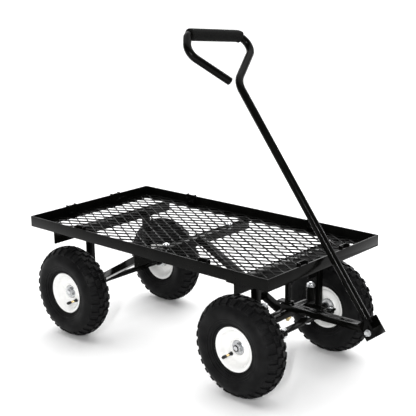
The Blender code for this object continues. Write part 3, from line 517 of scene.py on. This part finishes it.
for way in (1, -1):
    washer = [(radius, way * (YOKE_HALF + out)) for radius, out in CROSS_WASHER]
    parts.append(turned("washer", washer, PIVOT, 32))
    head_middle = PIVOT + Vector((0, way * (YOKE_HALF + 0.0040), 0))
    parts.append(hexagon("hex", head_middle, "Y", flats=0.0128, height=0.0052, recess=0.0042))
fit_out(joined("handle_cross_bolt", *parts), "handle", "zinc", ZINC, "handle_bolt")

# ---- Handle tube ---------------------------------------------------------------------------------
# One length of round steel tube: a long straight shaft, then a bend to the left and three more that close
# it into a loop with an open end. It is bent cold, so it is as thick in the bends as in the straights.
LEAN = math.radians(53.3)
SHAFT_LENGTH, SHAFT_START = 0.696, 0.0175
TUBE_RADIUS = 0.0103
BENDS = (((0, 0), 0.050), ((0.166, 0.120), 0.032), ((-0.085, 0.150), 0.020), ((-0.1185, 0.100), 0.034),
         ((-0.0266, 0.0064), 0))
shaft_way = Vector((-math.cos(LEAN), 0, math.sin(LEAN)))


def tube_route(steps):
    """Points along the tube's middle, with the number of the first point after each bend."""
    corners = [PIVOT + shaft_way * SHAFT_START]
    for (left, up), _ in BENDS:
        corners.append(PIVOT + shaft_way * (SHAFT_LENGTH + up) + Vector((0, left, 0)))
    points, marks = [corners[0]], []
    for before, corner, after, (_, radius) in zip(corners, corners[1:], corners[2:], BENDS):
        way_in, way_out = (corner - before).normalized(), (after - corner).normalized()
        turn = way_in.angle(way_out)
        inward = (way_out - way_in * math.cos(turn)).normalized()
        start = corner - way_in * radius * math.tan(turn / 2)
        marks.append(len(points))
        for k in range(steps + 1):
            t = turn * k / steps
            points.append(start + way_in * radius * math.sin(t) + inward * radius * (1 - math.cos(t)))
    return points + [corners[-1]], marks


def swept(name, points, radius, scales=None, resolution=5):
    """A round bar along a line of points, made a mesh."""
    line = bpy.data.curves.new(name, "CURVE")
    line.dimensions = "3D"
    line.bevel_depth = radius
    line.bevel_resolution = resolution
    line.use_fill_caps = True
    spline = line.splines.new("POLY")
    spline.points.add(len(points) - 1)
    for k, point in enumerate(points):
        spline.points[k].co = (*point, 1)
        spline.points[k].radius = scales[k] if scales else 1
    piece = bpy.data.objects.new(name, line)
    bpy.context.scene.collection.objects.link(piece)
    only(piece)
    bpy.ops.object.convert(target="MESH")
    piece = bpy.context.active_object
    bpy.ops.object.mode_set(mode="EDIT")
    bpy.ops.mesh.select_all(action="SELECT")
    bpy.ops.mesh.remove_doubles(threshold=0.00001)
    bpy.ops.mesh.normals_make_consistent(inside=False)
    bpy.ops.object.mode_set(mode="OBJECT")
    bpy.ops.object.shade_smooth_by_angle(angle=math.radians(40))
    return piece


BEND_STEPS = 14
route, marks = tube_route(BEND_STEPS)
bent_tube = swept("handle_tube_steel", route, TUBE_RADIUS, resolution=8)
fit_out(bent_tube, "handle", "black_paint", BLACK_PAINT, "handle_tube")

# ---- Foam grip -----------------------------------------------------------------------------------
# A sleeve of closed-cell foam pushed over the loop's cross run, a little into the bends at both ends. It is
# matte and finely pitted, with rounded ends.
foam = node_material("black foam", (0.008, 0.008, 0.008), 0.80, Specular_IOR_Level=0.07)
add_ramp(foam, add_noise(foam, 260, 4.0), "Base Color", (0.004, 0.004, 0.004), (0.010, 0.010, 0.0095))
add_bump(foam, add_noise(foam, 900, 2.0), 0.5, 0.0006)
start_mark, end_mark = marks[1] + BEND_STEPS, marks[2]
INTO_BENDS = 3
first, last = route[start_mark], route[end_mark]
middle = [first.lerp(last, t / 10) for t in range(1, 10)]
sleeve = route[start_mark - INTO_BENDS:start_mark + 1] + middle
sleeve += route[end_mark:end_mark + INTO_BENDS + 1]
rounding = ((0.0, 0.72), (0.12, 0.90), (0.40, 0.99))          # how far in, and how thick there
head = [sleeve[0].lerp(sleeve[1], t) for t, _ in rounding]
tail = [sleeve[-1].lerp(sleeve[-2], t) for t, _ in reversed(rounding)]
thick = [scale for _, scale in rounding]
sleeve_scales = thick + [1] * (len(sleeve) - 2) + thick[::-1]
GRIP_RADIUS = 0.0158
grip = swept("foam_sleeve", head + sleeve[1:-1] + tail, GRIP_RADIUS, sleeve_scales, 8)
fit_out(grip, "handle", "foam", foam, "foam_grip")

# ---- Tube end cap --------------------------------------------------------------------------------
# A moulded plastic plug in the loop's open end, with a low domed face and a thin flange against the tube.
plastic = node_material("black plastic", (0.012, 0.012, 0.012), 0.40, Specular_IOR_Level=0.35)
add_bump(plastic, add_noise(plastic, 500, 2.0), 0.15, 0.0003)
last_way = (route[-1] - route[-2]).normalized()
cap_points = [route[-1] + last_way * d for d in (-0.006, 0.0, 0.0004, 0.0022, 0.0032, 0.0038)]
cap = swept("end_cap", cap_points, TUBE_RADIUS, [0.80, 0.80, 1.0, 0.97, 0.80, 0.45], 6)
fit_out(cap, "handle", "black_plastic", plastic, "tube_end_cap")


# ---- Tyres ---------------------------------------------------------------------------------------
# Four alike: pneumatic tyres of black rubber, round in section, with a moulded bead and rings on each side
# wall and four staggered rows of square lugs. One is made facing +Y and copied on to each wheel.
def tyre_rubber():
    mat = node_material("tyre rubber", (0.0045, 0.0045, 0.0048), 0.46, Specular_IOR_Level=0.07)
    add_ramp(mat, add_noise(mat, 40, 4.0), "Base Color", (0.0040, 0.0040, 0.0043), (0.0080, 0.0080, 0.0082))
    add_ramp(mat, add_noise(mat, 18), "Roughness", 0.40, 0.62)
    add_bump(mat, add_noise(mat, 600, 2.0), 0.20, 0.0004)
    return mat


def mirrored(half):
    """A profile from one side's half, run on round the other side."""
    return half + [(r, -d) for r, d in reversed(half)]


def closed(profile):
    """A profile brought back to its first corner."""
    return profile + [profile[0]]


def fit_to_wheels(kind, master, slot, finish, node="", fixed=False, aims=None):
    """Copies a piece made facing +Y at the origin to all four wheels, and removes the first one.

    A fixed piece stays with the axle's end; aims turn a piece about the wheel's axle, in degrees.
    """
    for end in ("front", "rear"):
        for side, sign in (("left", 1), ("right", -1)):
            place = f"{end}_{side}"
            low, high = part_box("tyre_" + place)
            facing_out = Matrix.Identity(4) if sign > 0 else Matrix.Rotation(math.pi, 4, "Z")
            move = Matrix.Translation((low + high) / 2) @ facing_out
            if aims:
                aim = math.radians(aims[place])
                if sign < 0:
                    aim = math.pi - aim
                move = move @ Matrix.Rotation(-aim, 4, "Y")
            copy = bpy.data.objects.new(f"{kind}_piece_{place}", master.data.copy())
            bpy.context.scene.collection.objects.link(copy)
            copy.data.transform(move)
            body = "wheel_" + place
            if fixed:
                body = "knuckle_" + side if end == "front" else "chassis"
            stood_for = [node + "_" + place] if node else []
            fit_out(copy, body, slot, finish, *stood_for)
    bpy.data.objects.remove(master, do_unlink=True)


TYRE_RADIUS = 0.13
TYRE_HALF = [(0.1250, 0.004), (0.1247, 0.0080), (0.1236, 0.0130), (0.1213, 0.0190), (0.1175, 0.0255),
             (0.1130, 0.0315), (0.1065, 0.0365), (0.0990, 0.0398), (0.0920, 0.0405), (0.0850, 0.0398),
             (0.0790, 0.0378), (0.0782, 0.0382), (0.0768, 0.0376), (0.0765, 0.0366), (0.0700, 0.0345),
             (0.0690, 0.0322), (0.0655, 0.0312), (0.0645, 0.0290), (0.0612, 0.0300), (0.0590, 0.0285),
             (0.0560, 0.0250), (0.0530, 0.0200)]
LUGS_IN_ROW = 30
LUG_DEPTH = 0.0085
# each row's middle, stagger, width across and length around
LUG_ROWS = ((-0.0245, 0.0, 0.0165, 0.0165), (-0.0080, 0.5, 0.0120, 0.0185),
            (0.0080, 0.0, 0.0120, 0.0185), (0.0245, 0.5, 0.0165, 0.0165))


def tread_height(y):
    """The radius to the lugs' tops across the tyre, rounded like part of an ellipse."""
    return 0.0930 + 0.0370 * math.sqrt(1 - (y / 0.0425) ** 2)


def lug_blocks():
    """Square lugs with chamfered tops, bent round the tyre from one chamfered block."""
    bpy.ops.object.select_all(action="DESELECT")
    bpy.ops.mesh.primitive_cube_add(size=1, location=(0, 0, 0))
    block = bpy.context.active_object
    bpy.ops.object.mode_set(mode="EDIT")
    bpy.ops.mesh.select_mode(type="FACE")
    bpy.ops.mesh.select_all(action="DESELECT")
    bpy.ops.object.mode_set(mode="OBJECT")
    for face in block.data.polygons:
        face.select = face.normal.z > 0.9
    bpy.ops.object.mode_set(mode="EDIT")
    bpy.ops.mesh.bevel(offset=0.09, segments=1, affect="EDGES")
    bpy.ops.object.mode_set(mode="OBJECT")
    bm = bmesh.new()
    for middle_y, stagger, wide, long in LUG_ROWS:
        for k in range(LUGS_IN_ROW):
            before = len(bm.verts)
            bm.from_mesh(block.data)
            bm.verts.ensure_lookup_table()
            turn = 2 * math.pi * (k + stagger) / LUGS_IN_ROW
            for vertex in bm.verts[before:]:
                a, b, c = vertex.co
                y = middle_y + b * wide
                flare = 1.0 - 0.12 * (c + 0.5)
                radius = tread_height(y) - (0.5 - c) * LUG_DEPTH
                angle = turn + a * flare * long / TYRE_RADIUS
                vertex.co = (radius * math.cos(angle), y, radius * math.sin(angle))
    mesh = bpy.data.meshes.new("lugs")
    bmesh.ops.recalc_face_normals(bm, faces=bm.faces)
    bm.to_mesh(mesh)
    bm.free()
    bpy.data.objects.remove(block, do_unlink=True)
    lugs = bpy.data.objects.new("lugs", mesh)
    bpy.context.scene.collection.objects.link(lugs)
    return lugs


carcass = turned("carcass", closed(mirrored(TYRE_HALF)), (0, 0, 0), 96)
fit_to_wheels("tyre", joined("tyre", carcass, lug_blocks()), "tyre_rubber", tyre_rubber(), "tyre")


# ---- Rims ----------------------------------------------------------------------------------------
# Two pressed steel dishes set back to back, with rolled edges that hold the tyre's beads. They are white with
# gloss enamel, which is smooth and shows every curve of the dish.
def white_enamel():
    mat = node_material("white enamel", (0.85, 0.85, 0.835), 0.22, Specular_IOR_Level=0.5)
    add_ramp(mat, add_noise(mat, 30), "Roughness", 0.18, 0.30)
    add_bump(mat, add_noise(mat, 350, 1.0), 0.06, 0.0004)
    return mat


RIM_HALF = [(0.0185, 0.0086), (0.0192, 0.0100), (0.0205, 0.0106), (0.0225, 0.0104), (0.0238, 0.0094),
            (0.0250, 0.0087), (0.0340, 0.0085), (0.0375, 0.0092), (0.0410, 0.0112), (0.0440, 0.0145),
            (0.0462, 0.0185), (0.0478, 0.0225), (0.0500, 0.0252), (0.0525, 0.0270), (0.0550, 0.0281),
            (0.0568, 0.0280), (0.0576, 0.0270), (0.0572, 0.0258), (0.0555, 0.0252), (0.0535, 0.0240),
            (0.0520, 0.0215), (0.0515, 0.0190)]
rim = turned("rim", closed(mirrored(RIM_HALF)), (0, 0, 0), 72)
fit_to_wheels("rim", rim, "white_paint", white_enamel(), "rim")

# ---- Hubs, axle nuts and axle ends ---------------------------------------------------------------
# A zinc-plated steel hub is pressed through each rim, with a bearing's face ring at both ends. A washer and
# a chamfered nut hold the wheel on the axle's threaded end, which shows bare beyond the nut.
HUB_PROFILE = [(0.0084, 0.0088), (0.0100, 0.0090), (0.0108, 0.0082), (0.0142, 0.0082), (0.0148, 0.0090),
               (0.0166, 0.0090), (0.0175, 0.0080), (0.0175, -0.0240), (0.0165, -0.0258), (0.0148, -0.0259),
               (0.0142, -0.0250), (0.0108, -0.0250), (0.0100, -0.0259), (0.0084, -0.0259)]
fit_to_wheels("hub", turned("hub", closed(HUB_PROFILE), (0, 0, 0), 40), "zinc", ZINC, "hub")
AXLE_WASHER = [(0.0084, 0.0094), (0.0118, 0.0094), (0.0122, 0.0098), (0.0118, 0.0104), (0.0084, 0.0104)]
nut = hexagon("axle_nut", (0, 0.0139, 0), "Y", flats=0.0220, height=0.0080, chamfer=0.0010, recess=0.0088)
nut = joined("axle_nut", nut, turned("washer", closed(AXLE_WASHER), (0, 0, 0), 32))
fit_to_wheels("axle_nut", nut, "zinc", ZINC, "axle_nut", fixed=True)
axle_end = [(0, 0.0198), (0.0056, 0.0198), (0.0072, 0.0190)]
for k in range(5):
    axle_end += [(0.0080, 0.0184 - k * 0.0010), (0.0073, 0.0179 - k * 0.0010)]
axle_end = turned("axle_tip", axle_end + [(0.0080, 0.0134), (0, 0.0134)], (0, 0, 0), 24)
fit_to_wheels("axle_tip", axle_end, "zinc", ZINC, fixed=True)

# ---- Tyre valves ---------------------------------------------------------------------------------
# Each inner tube's valve stands out through the rim's outer dish: a black base, a threaded brass stem and a
# black plastic cap. They stand wherever the wheels came to rest.
VALVE_ANGLES = {"front_right": 225, "rear_right": 315, "front_left": 70, "rear_left": 150}
VALVE_CIRCLE = 0.031
seat = (VALVE_CIRCLE, 0, 0)
VALVE_BASE = [(0, 0.0072), (0.0052, 0.0074), (0.0053, 0.0100), (0.0046, 0.0125), (0.0036, 0.0150),
              (0.0033, 0.0200), (0, 0.0200)]
VALVE_CAP = [(0, 0.0300), (0.0038, 0.0300), (0.0041, 0.0305), (0.0041, 0.0400), (0.0038, 0.0415),
             (0.0026, 0.0432), (0.0012, 0.0438), (0, 0.0438)]
stem = [(0, 0.0195), (0.0026, 0.0195)]
for k in range(8):
    stem += [(0.0030, 0.0200 + k * 0.0013), (0.0025, 0.0206 + k * 0.0013)]
stem = turned("valve_stem", stem + [(0.0026, 0.0310), (0, 0.0310)], seat, 16)
brass = plated_metal("plain brass", (0.70, 0.52, 0.26), 0.28)
base = turned("valve_base", VALVE_BASE, seat, 20)
cap = turned("valve_cap", VALVE_CAP, seat, 18)
fit_to_wheels("valve_base", base, "black_plastic", plastic, aims=VALVE_ANGLES)
fit_to_wheels("valve_stem", stem, "brass", brass, "valve", aims=VALVE_ANGLES)
fit_to_wheels("valve_cap", cap, "black_plastic", plastic, aims=VALVE_ANGLES)
